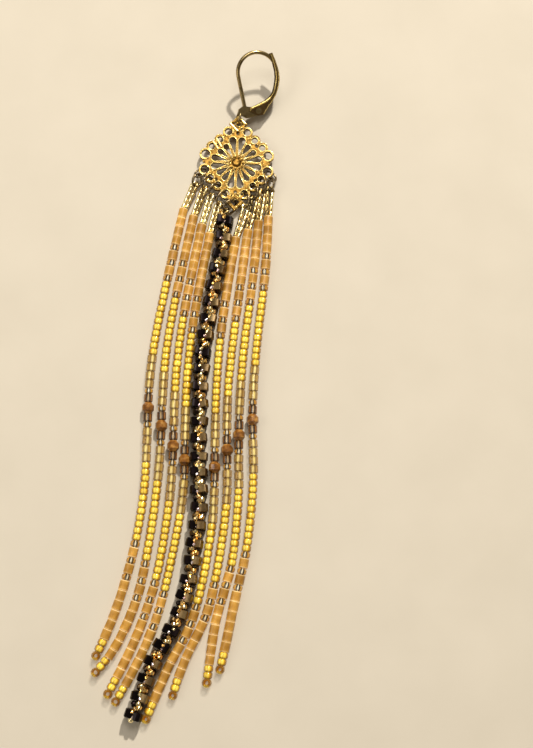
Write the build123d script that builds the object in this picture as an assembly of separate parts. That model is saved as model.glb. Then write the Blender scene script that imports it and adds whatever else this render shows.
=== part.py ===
from build123d import *
import math
import os

# Long earring laid flat: a leverback ear wire, a pierced filigree plate, eight strings of
# seed beads and a thick beaded rope. Millimetres, +Z up, +Y towards the ear wire.
# Plan places are measured from a working point near the middle of the strings. At the end
# all pieces are moved so that the origin is the middle of the base.

# Strings of seed beads
string_diameter = 2.1
string_lift = 0.03
bore_diameter = 0.5
thread_diameter = 0.3
thread_inset = 0.5
stopper_length = 1.45
stopper_reach = 0.9
bead_loop_diameter = 0.7
bead_loop_spread = 0.78
bead_loop_seat = 0.3
bead_loop_grip = 0.6

# Copper beads
copper_diameter = 2.65
copper_length = 2.5
copper_mouth = 1.5
copper_waist_share = 0.44
copper_facets = 10
copper_gap = 0.1

# Beaded rope
rope_diameter = 3.3
rope_lift = 0.07

# Jump rings
ring_radius = 1.65
ring_wire = 0.45
ring_tilt = 55
linked_ring_radius = 1.4
linked_ring_tilt = 38
ring_seat_back = 0.1
ring_lift = 0.02
ring_clearance = 0.1
link_clearance = 0.4

# Filigree plate: shares are of its half width and half height
plate_middle = (-6.87, 49.15)
plate_lean = 2.2
plate_bottom = 1.3
plate_thickness = 0.5
plate_half_width = 8.65
plate_half_height = 11.5
relief_height = 0.25
relief_margin = 0.1
granule_height = 0.25
granule_radius = 0.28
tip_share = 0.817
tip_hole = 1.1
small_hole_radius = 0.35
boss_radius = 1.3
boss_height = 0.75
boss_granules = 10
spoke_count = 16
spoke_width = 0.45
spoke_root = 1.75
teardrop_point = 0.12

# Ear wire and lever, in the ear wire's own plane: across, then up from the wire's foot
foot_place = (-4.95, 61.86, 3.07)
plane_rise_right = -0.25
plane_rise_up = 0.39
plane_heading = 7.8
wire_diameter = 0.9
front_length = 7.35
front_lean = 25
hook_radius = 4.55
hook_sweep = 159
hook_gap = 0.1
base_thickness = 0.9
base_ring_radius = 1.4
base_ring_wire = 0.6
base_ring_share = 0.957
base_ring_height = 1.7
lever_width = 1.8
lever_sheet = 0.3
rivet_place = (3.0, 0.13)
rivet_diameter = 0.8
rivet_boss_radius = 0.8
rivet_head_diameter = 1.4
rivet_head_height = 0.25
rivet_play = 0.05
rivet_fit = 0.02

# Round loops of the plate, by name: place across and up as shares, hole radius, rim width
loop_rows = {
    "corner": (0.821, 0.165, 0.95, 0.50),
    "side_leaf": (0.665, 0.326, 0.70, 0.65),
    "low_leaf": (0.457, 0.474, 0.70, 0.65),
    "plain": (0.243, 0.643, 0.80, 0.55),
}

# Outline of the plate between its loops, one quarter, as shares
outline_shares = [(0.0, 0.7), (0.243, 0.643), (0.457, 0.474), (0.665, 0.326), (0.821, 0.165), (0.844, 0.0)]

# Teardrop openings of one quarter: how far out each one reaches, from the side to the top
teardrop_shares = [0.59, 0.52, 0.52, 0.624]

# Small openings of one quarter, as shares
small_hole_shares = [(0.514, 0.365), (0.0, 0.617)]

# Granules of one quarter, as shares
granule_shares = [(0.64, 0.225), (0.572, 0.415), (0.353, 0.565), (0.145, 0.742), (0.173, 0.712), (0.86, 0.0)]

# How each string hangs, by number: loop of the plate, its side (left is -1), and the ring's
# heading in degrees from straight down, towards the right
hanging_rows = {
    1: ("corner", -1, -54),
    2: ("side_leaf", -1, -26),
    3: ("low_leaf", -1, -29),
    4: ("plain", -1, -30),
    5: ("plain", 1, 7),
    6: ("low_leaf", 1, 8),
    7: ("side_leaf", 1, 8),
    8: ("corner", 1, 40),
}
linked_strings = (1, 8)
rope_heading = -45

# Routes of the strings, from the top bead to the stopper, chosen by hand. The copper bead
# sits in the middle of the run that starts at the place named in copper_run.
string_routes = {
    1: [(-18.8, 38.4), (-21.8, 24.5), (-24.9, 8.5), (-26.1, -2.5), (-26.25, -13.0),
        (-26.5, -25.5), (-28.5, -38.5), (-31.2, -48.5), (-34.2, -57.0), (-36.4, -61.5)],
    2: [(-16.5, 36.8), (-19.6, 22.0), (-22.4, 6.0), (-23.1, -6.5), (-23.25, -17.0),
        (-24.0, -27.0), (-25.9, -40.5), (-27.7, -49.5), (-31.4, -58.3), (-34.0, -62.3),
        (-36.4, -65.0)],
    3: [(-14.6, 34.7), (-17.8, 18.8), (-20.1, 2.0), (-20.45, -11.2), (-20.6, -21.3),
        (-21.3, -30.0), (-23.3, -43.5), (-26.0, -53.0), (-29.8, -62.2), (-33.7, -69.5)],
    4: [(-12.75, 32.6), (-15.9, 16.5), (-17.7, 0.0), (-18.0, -14.2), (-17.95, -24.6),
        (-18.9, -32.5), (-21.6, -46.5), (-24.0, -55.2), (-28.3, -64.8), (-32.0, -71.1)],
    5: [(-6.9, 31.6), (-9.6, 16.0), (-11.1, -1.0), (-11.35, -15.8), (-11.35, -26.2),
        (-11.7, -33.8), (-14.2, -48.5), (-16.9, -56.8), (-20.4, -62.6), (-23.3, -69.4),
        (-25.5, -74.7)],
    6: [(-4.2, 33.4), (-6.1, 19.0), (-8.4, 0.0), (-8.8, -12.0), (-8.55, -22.3),
        (-8.7, -30.5), (-10.9, -45.5), (-13.0, -53.6), (-16.3, -60.0), (-18.7, -65.5),
        (-19.9, -69.8)],
    7: [(-1.8, 35.5), (-2.8, 23.0), (-5.2, 5.5), (-6.05, -8.7), (-6.15, -19.0),
        (-5.95, -27.0), (-7.2, -41.5), (-9.9, -50.4), (-11.2, -55.5), (-12.2, -63.0),
        (-12.7, -67.2)],
    8: [(0.45, 36.6), (-0.1, 23.5), (-1.9, 9.5), (-3.15, -5.2), (-3.0, -15.6),
        (-2.75, -24.0), (-4.1, -38.8), (-6.7, -49.0), (-8.5, -58.5), (-9.9, -64.4)],
}
copper_run = 3

# Route of the rope: its top from the far side of its ring, then its places down to its end
rope_top = (0.28, -1.79)
rope_route = [(-10.25, 28.0), (-11.9, 19.5), (-13.6, 9.0), (-14.8, 0.0),
              (-14.9, -10.0), (-14.85, -22.0), (-14.5, -30.5), (-16.0, -40.5), (-17.4, -49.5),
              (-20.0, -55.7), (-23.2, -60.8), (-25.6, -66.6), (-27.0, -71.0), (-28.5, -74.9)]

# Side of the lever in the ear wire's plane: its back from the tip down, then its front up
lever_back = [(3.22, 13.7), (4.18, 12.43), (5.0, 11.2), (5.7, 9.95), (6.17, 8.76), (6.35, 7.9),
              (6.41, 6.2), (6.24, 4.6), (5.67, 2.83), (5.0, 1.29), (4.4, -0.4)]
lever_front = [(3.2, -0.9), (1.1, -0.45), (1.15, 0.35), (2.7, 1.6), (4.2, 2.9), (5.1, 4.0),
               (5.5, 5.0), (5.58, 6.2), (5.5, 7.6), (5.35, 8.6), (4.95, 9.85), (4.35, 11.0),
               (3.78, 12.13), (2.82, 13.4)]

# Base plate of the ear wire in the same plane, from the rivet clockwise
base_outline = [(3.0, 0.9), (0.5, 0.55), (-0.55, 0.5), (-1.4, -0.5), (-1.4, -1.6), (0.9, -2.1),
                (2.9, -1.05), (3.4, -0.5)]

string_radius = string_diameter / 2
string_height = string_radius + string_lift
copper_height = copper_diameter / 2 + string_lift
rope_height = rope_diameter / 2 + rope_lift
ring_wire_radius = ring_wire / 2
bead_loop_radius = bead_loop_diameter / 2
loop_offset = ring_wire_radius + bead_loop_radius + ring_clearance
ring_height = ring_radius * math.sin(math.radians(ring_tilt)) + ring_wire_radius + ring_lift


# Plate places

def plate_point(u, v, z=0.0):
    lean = math.radians(plate_lean)
    x = plate_middle[0] + u * math.cos(lean) + v * math.sin(lean)
    y = plate_middle[1] - u * math.sin(lean) + v * math.cos(lean)
    return Vector(x, y, z)


def from_shares(share):
    return share[0] * plate_half_width, share[1] * plate_half_height


def mirrored(points):
    """All different places of a list under the plate's two mirror lines."""
    places = set()
    for u, v in points:
        for side in (-1, 1):
            for end in (-1, 1):
                places.add((round(side * u, 6) + 0.0, round(end * v, 6) + 0.0))
    return sorted(places)


def heading_vector(degrees):
    """Level direction at an angle from the plate's downward line, towards the right."""
    angle = math.radians(degrees)
    tip = plate_point(math.sin(angle), -math.cos(angle))
    return (tip - plate_point(0, 0)).normalized()


# Filigree plate

def teardrop(angle_degrees, reach, margin):
    """One opening between two spokes, grown by a margin."""
    angle = math.radians(angle_degrees)
    spacing = 2 * math.pi / spoke_count
    outer_radius = (spacing * reach - spoke_width) / 2
    inner = Pos(spoke_root * math.cos(angle), spoke_root * math.sin(angle)) * Circle(teardrop_point + margin)
    outer = Pos(reach * math.cos(angle), reach * math.sin(angle)) * Circle(outer_radius + margin)
    return make_hull(inner.edges() + outer.edges())


def diamond(half_diagonal, v):
    return Pos(0, v) * (Rot(0, 0, 45) * Rectangle(half_diagonal * math.sqrt(2), half_diagonal * math.sqrt(2)))


def plate_openings(margin):
    """Everything that is cut through the plate."""
    cuts = []
    step = 360 / spoke_count
    quarter = spoke_count // 4
    for index in range(spoke_count):
        place = index % quarter
        if (index // quarter) % 2:
            place = quarter - 1 - place
        reach = plate_half_width * teardrop_shares[place]
        cuts.append(teardrop((index + 0.5) * step, reach, margin))
    for across, up, hole, rim in loop_rows.values():
        for u, v in mirrored([from_shares((across, up))]):
            cuts.append(Pos(u, v) * Circle(hole + margin))
    for u, v in mirrored([from_shares(share) for share in small_hole_shares]):
        cuts.append(Pos(u, v) * Circle(small_hole_radius + margin))
    for end in (-1, 1):
        cuts.append(diamond(tip_hole + margin * math.sqrt(2), end * tip_share * plate_half_height))
    return cuts


def plate_outline(margin):
    """Outer form of the plate, drawn in by a margin."""
    quarter = [from_shares(share) for share in outline_shares]
    top = quarter + [(u, -v) for u, v in reversed(quarter[:-1])]
    ring = top + [(-u, v) for u, v in reversed(top[1:-1])]
    outline = make_face(Polyline(*ring, close=True))
    for across, up, hole, rim in loop_rows.values():
        for u, v in mirrored([from_shares((across, up))]):
            outline += Pos(u, v) * Circle(hole + rim - margin)
    half_diagonal = plate_half_height * (1 - tip_share) - margin * math.sqrt(2)
    for end in (-1, 1):
        outline += diamond(half_diagonal, end * tip_share * plate_half_height)
    return outline


def filigree():
    plate = extrude(plate_outline(0) - plate_openings(0), plate_thickness)
    relief = extrude(plate_outline(relief_margin) - plate_openings(relief_margin), relief_height)
    body = plate + Pos(0, 0, plate_thickness) * relief
    granules = []
    for u, v in mirrored([from_shares(share) for share in granule_shares]):
        granules.append((u, v))
    for index in range(boss_granules):
        angle = 2 * math.pi * index / boss_granules
        reach = boss_radius + granule_radius
        granules.append((reach * math.cos(angle), reach * math.sin(angle)))
    granule = Cylinder(granule_radius, relief_height + granule_height, align=(Align.CENTER, Align.CENTER, Align.MIN))
    body += [Pos(u, v, plate_thickness) * granule for u, v in granules]
    boss = Cone(boss_radius, boss_radius / 2, boss_height, align=(Align.CENTER, Align.CENTER, Align.MIN))
    body += Pos(0, 0, plate_thickness) * boss
    return Pos(plate_middle[0], plate_middle[1], plate_bottom) * (Rot(0, 0, -plate_lean) * body)


# Rings

def tilted_frame(heading, tilt):
    """Directions of a ring that is turned about its heading: its side and its axis."""
    level_side = Vector(-heading.Y, heading.X, 0)
    up = Vector(0, 0, 1)
    turn = math.radians(tilt)
    side = level_side * math.cos(turn) + up * math.sin(turn)
    axis = up * math.cos(turn) - level_side * math.sin(turn)
    return side, axis


def ring_solid(centre, heading, tilt, radius):
    side, axis = tilted_frame(heading, tilt)
    return Plane(origin=centre, x_dir=heading, z_dir=axis) * Torus(radius, ring_wire_radius)


def ring_centre(loop, side, heading, radius):
    across, up, hole, rim = loop_rows[loop]
    place = from_shares((side * across, -up))
    return plate_point(*place, ring_height) + heading * (radius - ring_seat_back)


def rope_ring_centre():
    place = plate_point(0, -tip_share * plate_half_height, ring_height)
    return place + heading_vector(rope_heading) * (ring_radius - ring_seat_back)


# Routes

def arc_radii(points):
    """The largest arc that each corner's two runs allow."""
    radii = []
    for before, corner, after in zip(points, points[1:], points[2:]):
        arriving = corner - before
        leaving = after - corner
        half_turn = math.radians(arriving.get_angle(leaving)) / 2
        shorter = min(arriving.length, leaving.length)
        radii.append(0.45 * shorter / math.tan(half_turn))
    return radii


def swept(path, *circles):
    """A round bar along a path, with a bore if a second radius is given."""
    section = Circle(circles[0])
    if len(circles) > 1:
        section -= Circle(circles[1])
    return sweep(Plane(origin=path @ 0, z_dir=path % 0) * section, path=path)


def route_points(route, height, raised_height):
    """The route in space: the run that carries the copper bead is raised by it."""
    points = []
    for index, (x, y) in enumerate(route):
        raised = index in (copper_run, copper_run + 1)
        points.append(Vector(x, y, raised_height if raised else height))
    return points


def bead_loop(wire_place, heading, tilt, top, downward):
    """Loop of tiny beads from the top of a string, around the wire of its ring and back."""
    axis = tilted_frame(heading, tilt)[1]
    level_side = Vector(-downward.Y, downward.X, 0).normalized()
    if axis.dot(level_side) < 0:
        level_side = level_side * -1
    foot = top + downward * bead_loop_seat
    reach = level_side * (bead_loop_spread / 2)
    grip = heading * bead_loop_grip
    crown = heading * -loop_offset
    offset = axis * loop_offset
    points = [foot + reach, wire_place + offset + grip, wire_place + offset + crown,
              wire_place - offset + crown, wire_place - offset + grip, foot - reach]
    bend = loop_offset - 0.05
    outer_radii = [min(radius, bend) for radius in arc_radii(points)]
    outer_radii[1] = bend
    outer_radii[2] = bend
    return swept(FilletPolyline(*points, radius=outer_radii), bead_loop_radius)


def copper_bead():
    """Faceted bead along Z, drilled for the thread."""
    half = copper_length / 2
    waist = copper_waist_share * half
    mouth = copper_mouth / 2
    widest = copper_diameter / 2
    sections = []
    for height, radius in ((-half, mouth), (-waist, widest), (waist, widest), (half, mouth)):
        sections.append(Pos(0, 0, height) * RegularPolygon(radius, copper_facets))
    bead = loft(sections, ruled=True)
    return bead - Cylinder(bore_diameter / 2, 2 * copper_length)


def beaded_string(number, wire_place, heading, tilt):
    """One string: its beads as a drilled bar, its bead loop, its thread and its copper bead."""
    points = route_points(string_routes[number], string_height, copper_height)
    radii = arc_radii(points)
    print("string", number, "arc radii", [round(radius, 1) for radius in radii])
    last_run = (points[-1] - points[-2]).normalized()
    first_run = (points[1] - points[0]).normalized()
    stopper_place = points[-1]
    bar_points = points[:-1] + [stopper_place - last_run * stopper_reach]
    bar_path = FilletPolyline(*bar_points, radius=radii)
    bar = swept(bar_path, string_radius, bore_diameter / 2)
    section_area = math.pi * (string_radius ** 2 - bore_diameter ** 2 / 4)
    print("string", number, "volume over section times length",
          round(bar.volume / (section_area * bar_path.length), 5))

    run_start = points[copper_run]
    run_end = points[copper_run + 1]
    copper_frame = Plane(origin=(run_start + run_end) / 2, z_dir=run_end - run_start)
    zone = copper_frame * Cylinder(string_diameter, copper_length + 2 * copper_gap)
    stopper_frame = Plane(origin=stopper_place, x_dir=last_run, z_dir=Vector(-last_run.Y, last_run.X, 0))
    stopper = stopper_frame * Cylinder(string_radius, stopper_length)
    loop = bead_loop(wire_place, heading, tilt, points[0], first_run)

    thread_points = [points[0] + first_run * thread_inset] + bar_points[1:-1]
    thread_points.append(bar_points[-1] - last_run * thread_inset)
    thread = swept(FilletPolyline(*thread_points, radius=radii), thread_diameter / 2)
    return bar - zone + stopper + loop, thread, copper_frame * copper_bead()


# Rope

def rope():
    heading = heading_vector(rope_heading)
    wire_place = rope_ring_centre() + heading * ring_radius
    top = Vector(wire_place.X + rope_top[0], wire_place.Y + rope_top[1], rope_height)
    points = [top] + [Vector(x, y, rope_height) for x, y in rope_route]
    radii = arc_radii(points)
    print("rope arc radii", [round(radius, 1) for radius in radii])
    path = FilletPolyline(*points, radius=radii)
    bar = swept(path, rope_diameter / 2, bore_diameter / 2)
    section_area = math.pi * (rope_diameter ** 2 - bore_diameter ** 2) / 4
    print("rope volume over section times length", round(bar.volume / (section_area * path.length), 5))
    downward = (points[1] - points[0]).normalized()
    return bar + bead_loop(wire_place, heading, -ring_tilt, points[0], downward)


# Ear wire

def ear_plane():
    """Plane of the ear wire: x across to the lever, y up towards the hook."""
    normal = Vector(-plane_rise_right, -plane_rise_up, 1).normalized()
    heading = math.radians(plane_heading)
    level_up = Vector(math.sin(heading), math.cos(heading), 0)
    up = (level_up - normal * level_up.dot(normal)).normalized()
    return Plane(origin=foot_place, x_dir=up.cross(normal), z_dir=normal)


def hook_path():
    lean = math.radians(front_lean)
    knee = Vector(-front_length * math.sin(lean), front_length * math.cos(lean), 0)
    front = Line((0, 0, 0), knee)
    hook = JernArc(start=knee, tangent=front % 1, radius=hook_radius, arc_size=-hook_sweep)
    return front + hook


def hook_centre():
    lean = math.radians(front_lean)
    across = -front_length * math.sin(lean) + hook_radius * math.cos(lean)
    up = front_length * math.cos(lean) + hook_radius * math.sin(lean)
    return across, up


def tip_seat():
    """Where the hook stops: the plane of the lever's tip edge, a gap in front of it."""
    below, tip = Vector(*lever_front[-2], 0), Vector(*lever_front[-1], 0)
    edge = Plane(origin=(below + tip) / 2, x_dir=tip - below, z_dir=(0, 0, 1))
    block = Box(2 * hook_radius, hook_radius, 2 * wire_diameter, align=(Align.CENTER, Align.MAX, Align.CENTER))
    return edge * (Pos(0, hook_gap, 0) * block)


def ear_wire():
    wire = swept(hook_path(), wire_diameter / 2) - tip_seat()
    base = make_face(Polyline(*base_outline, close=True)) + Pos(*rivet_place) * Circle(rivet_boss_radius)
    base -= Pos(*rivet_place) * Circle(rivet_diameter / 2 + rivet_fit)
    base = extrude(base, base_thickness / 2, both=True)
    ring_place = plate_point(0, base_ring_share * plate_half_height, base_ring_height)
    ring_place = ear_plane().to_local_coords(ring_place)
    ring = Pos(*ring_place) * (Rot(0, 90, 0) * Torus(base_ring_radius, base_ring_wire / 2))
    return ear_plane() * (wire + base + ring)


def lever_cavity():
    """Room inside the channel: the back edge drawn in by the sheet, open at the front."""
    inner = []
    for before, place, after in zip([lever_back[0]] + lever_back, lever_back, lever_back[1:] + [lever_back[-1]]):
        run_across = after[0] - before[0]
        run_up = after[1] - before[1]
        length = math.hypot(run_across, run_up)
        inner.append((place[0] + lever_sheet * run_up / length, place[1] - lever_sheet * run_across / length))
    far_left = -hook_radius
    above = lever_back[0][1] + hook_radius
    below = lever_back[-1][1] - hook_radius
    outline = [(inner[0][0], above)] + inner + [(inner[-1][0], below), (far_left, below), (far_left, above)]
    return make_face(Polyline(*outline, close=True))


def lever():
    side = make_face(Polyline(*(lever_back + lever_front), close=True))
    solid = extrude(side, lever_width / 2, both=True)
    solid -= extrude(lever_cavity(), lever_width / 2 - lever_sheet, both=True)
    hole = Cylinder(rivet_diameter / 2 + rivet_play, 2 * lever_width)
    return ear_plane() * (solid - Pos(*rivet_place) * hole)


def lever_rivet():
    shank = Cylinder(rivet_diameter / 2, lever_width + 2 * rivet_play)
    head = Cylinder(rivet_head_diameter / 2, rivet_head_height, align=(Align.CENTER, Align.CENTER, Align.MIN))
    out = lever_width / 2 + rivet_play
    rivet = shank + Pos(0, 0, out) * head + Pos(0, 0, -out) * (Rot(180, 0, 0) * head)
    return ear_plane() * (Pos(*rivet_place) * rivet)


# Assembly

def assemble():
    nodes = {"filigree": filigree(), "ear_wire": ear_wire(), "lever": lever(), "lever_rivet": lever_rivet()}
    for number, (loop, side, heading_degrees) in hanging_rows.items():
        heading = heading_vector(heading_degrees)
        linked = number in linked_strings
        radius = linked_ring_radius if linked else ring_radius
        tilt = -side * linked_ring_tilt if linked else side * ring_tilt
        place = ring_centre(loop, side, heading, radius)
        nodes["jump_ring_" + str(number)] = ring_solid(place, heading, tilt, radius)
        if linked:
            top = Vector(*string_routes[number][0], ring_height)
            heading = (top - place).normalized()
            place = place + heading * (2 * radius - ring_wire - link_clearance)
            tilt = side * ring_tilt
            nodes["link_ring_" + str(number)] = ring_solid(place, heading, tilt, radius)
        string, thread, bead = beaded_string(number, place + heading * radius, heading, tilt)
        nodes["string_" + str(number)] = string
        nodes["thread_" + str(number)] = thread
        nodes["copper_bead_" + str(number)] = bead
    nodes["rope_ring"] = ring_solid(rope_ring_centre(), heading_vector(rope_heading), -ring_tilt, ring_radius)
    nodes["rope"] = rope()
    return nodes


def main():
    nodes = assemble()
    box = Compound(children=[Compound(node.solids()) for node in nodes.values()]).bounding_box()
    shift = Pos(-(box.min.X + box.max.X) / 2, -(box.min.Y + box.max.Y) / 2, -box.min.Z)
    os.makedirs("parts", exist_ok=True)
    for name, node in nodes.items():
        moved = shift * node
        export_step(moved, "parts/" + name + ".step")
    plane = ear_plane()
    centre = hook_centre()
    print("size", [round(value, 3) for value in box.size])
    print("shift", [round(value, 4) for value in shift.position])
    print("rivet place", plane.from_local_coords(Vector(*rivet_place, 0)) + shift.position, "axis", plane.z_dir)
    print("hook middle", plane.from_local_coords(Vector(*centre, 0)) + shift.position)
    print("hook top", plane.from_local_coords(Vector(centre[0], centre[1] + hook_radius, 0)) + shift.position)


main()
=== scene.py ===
import math
import random

import bpy
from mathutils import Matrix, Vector


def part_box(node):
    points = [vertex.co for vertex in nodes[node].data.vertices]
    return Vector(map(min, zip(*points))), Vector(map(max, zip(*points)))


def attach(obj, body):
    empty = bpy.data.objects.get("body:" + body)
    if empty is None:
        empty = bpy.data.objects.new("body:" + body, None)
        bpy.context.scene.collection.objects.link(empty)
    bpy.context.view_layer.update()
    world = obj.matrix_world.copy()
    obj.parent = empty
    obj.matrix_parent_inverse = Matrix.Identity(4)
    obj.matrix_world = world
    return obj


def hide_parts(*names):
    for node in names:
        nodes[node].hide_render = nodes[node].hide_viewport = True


# A long beaded earring that lies on pale paper: ear wire, filigree plate, eight strings of
# seed beads and a rope of metallic cubes. Sizes are in millimetres until mm makes them metres.
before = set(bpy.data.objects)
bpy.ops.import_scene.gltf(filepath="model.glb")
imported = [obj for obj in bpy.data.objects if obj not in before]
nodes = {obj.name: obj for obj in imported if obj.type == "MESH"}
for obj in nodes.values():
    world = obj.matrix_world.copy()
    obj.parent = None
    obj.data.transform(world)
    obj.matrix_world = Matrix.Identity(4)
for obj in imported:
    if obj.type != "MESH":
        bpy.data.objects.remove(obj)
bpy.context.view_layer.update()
mm = 0.001

# places are drawn from a working point near the middle of the strings, and the filigree
# plate says where that point is in the frame
plateMiddle = Vector((-6.87, 49.15, 0))
lowestPoint = 0.02  # the drawing's own height of what rests on the paper
plateLow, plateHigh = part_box("filigree")
drawingOrigin = (plateLow + plateHigh) / 2 - plateMiddle * mm
drawingOrigin.z = -lowestPoint * mm


def place(x, y, z=0.0):
    return Vector((x, y, z)) * mm + drawingOrigin


def newObject(name, data):
    made = bpy.data.objects.new(name, data)
    bpy.context.scene.collection.objects.link(made)
    return made


def turnedBy(angle, x, y):
    cosine, sine = math.cos(angle), math.sin(angle)
    return x * cosine - y * sine, x * sine + y * cosine


def fillInputs(tree, node, inputs):
    # an input is linked where a socket is given, and set where a value is
    for key, value in inputs.items():
        if isinstance(value, bpy.types.NodeSocket):
            tree.links.new(value, node.inputs[key])
        else:
            node.inputs[key].default_value = value


def addNode(tree, kind, inputs={}, **settings):
    node = tree.nodes.new(kind)
    for name, value in settings.items():
        setattr(node, name, value)
    fillInputs(tree, node, inputs)
    return node


def nodeResult(tree, kind, inputs={}, output=0, **settings):
    return addNode(tree, kind, inputs, **settings).outputs[output]


def arrangeNodes(tree, columnWidth=220, rowHeight=200):
    # each node stands in a column to the left of the nodes that it feeds
    column = {node.name: 0 for node in tree.nodes}
    for step in range(len(column)):
        for link in tree.links:
            column[link.from_node.name] = max(column[link.from_node.name], column[link.to_node.name] + 1)
    filled = [0] * (len(column) + 1)
    for name, steps in column.items():
        tree.nodes[name].location = (-columnWidth * steps, -rowHeight * filled[steps])
        filled[steps] += 1


# sockets that share their name with others on the same node
colourA, colourB, colourResult = 6, 7, 2
floatLeast, floatMost, floatValue = 2, 3, 1
wholeA, wholeB = 2, 3

# colours stand at their place from 0 to 1 on what they follow, or are spread evenly in a list;
# metals: colour where dull and where rubbed, size of the mottling, most and least roughness
metals = {
    # painted shade: the plate's gold is kept near black, so that it reads as shade between the raised wires
    "plateGold": {
        "colours": {0.28: (0.03, 0.013, 0.003), 0.58: (0.29, 0.16, 0.032)},
        "grain": 1500, "worn": (0.52, 0.34), "bump": 0.4},
    # the lit copy of the same gold, bright, for the raised wires, granules and the lever's edges
    "brightGold": {
        "colours": {0.28: (0.66, 0.40, 0.08), 0.58: (1.0, 0.78, 0.30)},
        "grain": 1500, "worn": (0.32, 0.14), "bump": 0.15},
    "antiqueBrass": {
        "colours": {0.28: (0.10, 0.068, 0.025), 0.58: (0.42, 0.31, 0.14)},
        "grain": 500, "worn": (0.32, 0.16), "bump": 0.15},
    # painted shade: the lever's brass is darker than the ear wire's
    "leverBrass": {
        "colours": {0.28: (0.05, 0.028, 0.012), 0.58: (0.26, 0.16, 0.06)},
        "grain": 600, "worn": (0.40, 0.22), "bump": 0.2},
    "darkBronze": {
        "colours": {0.28: (0.05, 0.04, 0.03), 0.58: (0.32, 0.24, 0.13)},
        "grain": 1500, "worn": (0.36, 0.18), "bump": 0.2},
}
allMetals = {"detail": 4.0, "wornAt": (0.3, 0.7), "shader": {"Metallic": 1.0}}

# clear shells: colour at the bead's ends, darker there as painted shade where beads meet, and between them,
# how much of the inside they hide, and how the colour changes from the bead's sides (0.5) to its top (1):
# painted shade lines and painted highlights where the lining glints, kept on the bead's upper side
shells = {
    "yellowGlass": {
        "ends": (0.40, 0.19, 0.004), "middle": (0.90, 0.56, 0.018),
        "across": {0.60: (0.42, 0.34, 0.6), 0.83: (0.60, 0.52, 0.8), 0.90: (1.12, 1.12, 1.2),
                   0.945: (1.12, 1.5, 6), 0.975: (1.12, 1.5, 6), 1.0: (0.60, 0.55, 1.4)}, "hide": 0.66},
    "amberGlass": {
        "ends": (0.30, 0.14, 0.015), "middle": (0.62, 0.34, 0.05),
        "across": {0.60: (0.75, 0.65, 0.5), 0.915: (1.15, 1.1, 1), 0.945: (0.03, 0.04, 0.15),
                   0.976: (0.04, 0.06, 0.3), 0.990: (1.4, 2.4, 13)}, "hide": 0.72},
    "topazGlass": {
        "ends": (0.26, 0.14, 0.02), "middle": (0.56, 0.34, 0.065),
        "across": {0.56: (0.55, 0.46, 0.3), 0.82: (1.05, 1.05, 1), 0.935: (0.58, 0.58, 0.8),
                   0.965: (0.70, 0.75, 1.1), 0.985: (1.45, 1.95, 3.2)}, "hide": 0.60},
    "brownGlass": {
        "ends": (0.07, 0.025, 0.004), "middle": (0.27, 0.11, 0.025),
        "across": {0.60: (0.5, 0.5, 0.5), 0.84: (1.3, 1.3, 1.2), 0.90: (0.15, 0.2, 0.4),
                   0.978: (0.25, 0.3, 0.6), 0.994: (2.0, 3.4, 7)}, "hide": 0.78},
}
allShells = {"endReach": 0.2, "tints": [(0.80, 0.70, 0.55), (1.08, 1.10, 1.1)], "grain": 1600,
             "detail": 2.0, "bump": 0.12, "shadow": 0.15, "shader": {"Roughness": 0.08, "IOR": 1.55}}

# linings of the holes: colours from end to end, a painted highlight in the middle and painted shade at the
# ends, then across from painted shade at the sides to a painted highlight on top, and none of the inside
# shows
linings = {
    "yellowLining": {
        "along": [(0.55, 0.30, 0.015), (1.0, 0.74, 0.08), (1.0, 0.86, 0.26), (1.0, 0.72, 0.07),
                  (0.45, 0.25, 0.015)], "across": {0.70: (0.72, 0.45, 0.12), 0.93: (1, 1, 1)}},
    "creamLining": {
        "along": [(0.34, 0.22, 0.08), (1.0, 0.84, 0.36), (1.0, 0.92, 0.52), (1.0, 0.93, 0.58),
                  (0.60, 0.40, 0.14)], "across": {0.82: (0.20, 0.12, 0.04), 0.97: (1, 1, 1)}},
    "darkLining": {
        "along": [(0.05, 0.03, 0.02), (0.30, 0.22, 0.12), (1.0, 0.95, 0.80), (1.0, 0.95, 0.82),
                  (0.06, 0.035, 0.02)], "across": {0.84: (0.03, 0.016, 0.01), 0.985: (1, 1, 1)}},
}
allLinings = {"tints": [(0.80, 0.72, 0.60), (1, 1, 1)], "grain": 2600, "detail": 3.0, "bump": 0.3,
              "hide": 1.0, "shadow": 0.25, "shader": {"Metallic": 0.2, "Roughness": 0.3}}

# etched glass tube: flat tan with paler ends as painted light where it passes between the tubes, and
# streaks in the glass in place of the painted change across
frostedGlass = {
    "along": {0: (0.92, 0.70, 0.34), 0.12: (0.52, 0.285, 0.048), 0.5: (0.46, 0.24, 0.034),
              0.86: (0.52, 0.285, 0.048), 1: (0.92, 0.70, 0.34)},
    "streaks": [(0.56, 0.48, 0.36), (1.26, 1.28, 1.34)], "tints": [(0.82, 0.75, 0.60), (1.36, 1.40, 1.55)],
    "grain": 700, "detail": 3.0, "waver": 0.4, "bump": 0.2, "hide": 1.0, "shadow": 0.2,
    "shader": {"Roughness": 0.34, "Transmission Weight": 0.18}}

# translucent copper glass, paler where a facet catches the light
copperGlass = {
    "colours": {0.3: (0.13, 0.045, 0.008), 0.5: (0.30, 0.115, 0.018), 0.7: (0.60, 0.30, 0.07)},
    "grain": 900, "detail": 3.0, "bump": 0.15,
    "shader": {"Roughness": 0.10, "IOR": 1.6, "Transmission Weight": 0.25}}

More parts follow.
